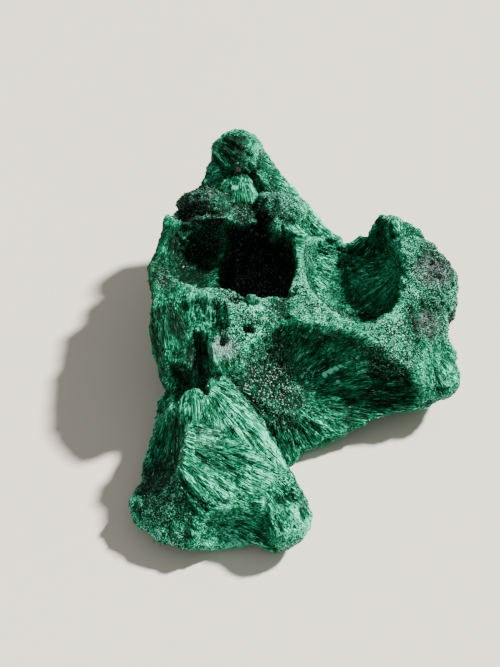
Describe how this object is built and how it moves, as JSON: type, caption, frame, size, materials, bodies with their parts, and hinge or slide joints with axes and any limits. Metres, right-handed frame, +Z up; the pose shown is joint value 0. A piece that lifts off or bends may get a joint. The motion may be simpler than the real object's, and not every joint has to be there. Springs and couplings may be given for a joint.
{
  "type": "malachite specimen",
  "caption": "Rough natural piece of fibrous green malachite with a tall knobbed peak, a deep hollow, a side arm and a spreading foot.",
  "frame": {"origin": "on the resting plane, under the middle of the specimen's bounding box", "axes": "+Z up from the resting plane, +Y from the spreading foot towards the knobbed peak, +X towards the side arm"},
  "size_m": [0.0598, 0.0846, 0.029],
  "materials": {
    "malachite": "silky half-matt fibrous mineral"
  },
  "bodies": {
    "root": {"malachite": "malachite"}
  },
  "joints": []
}
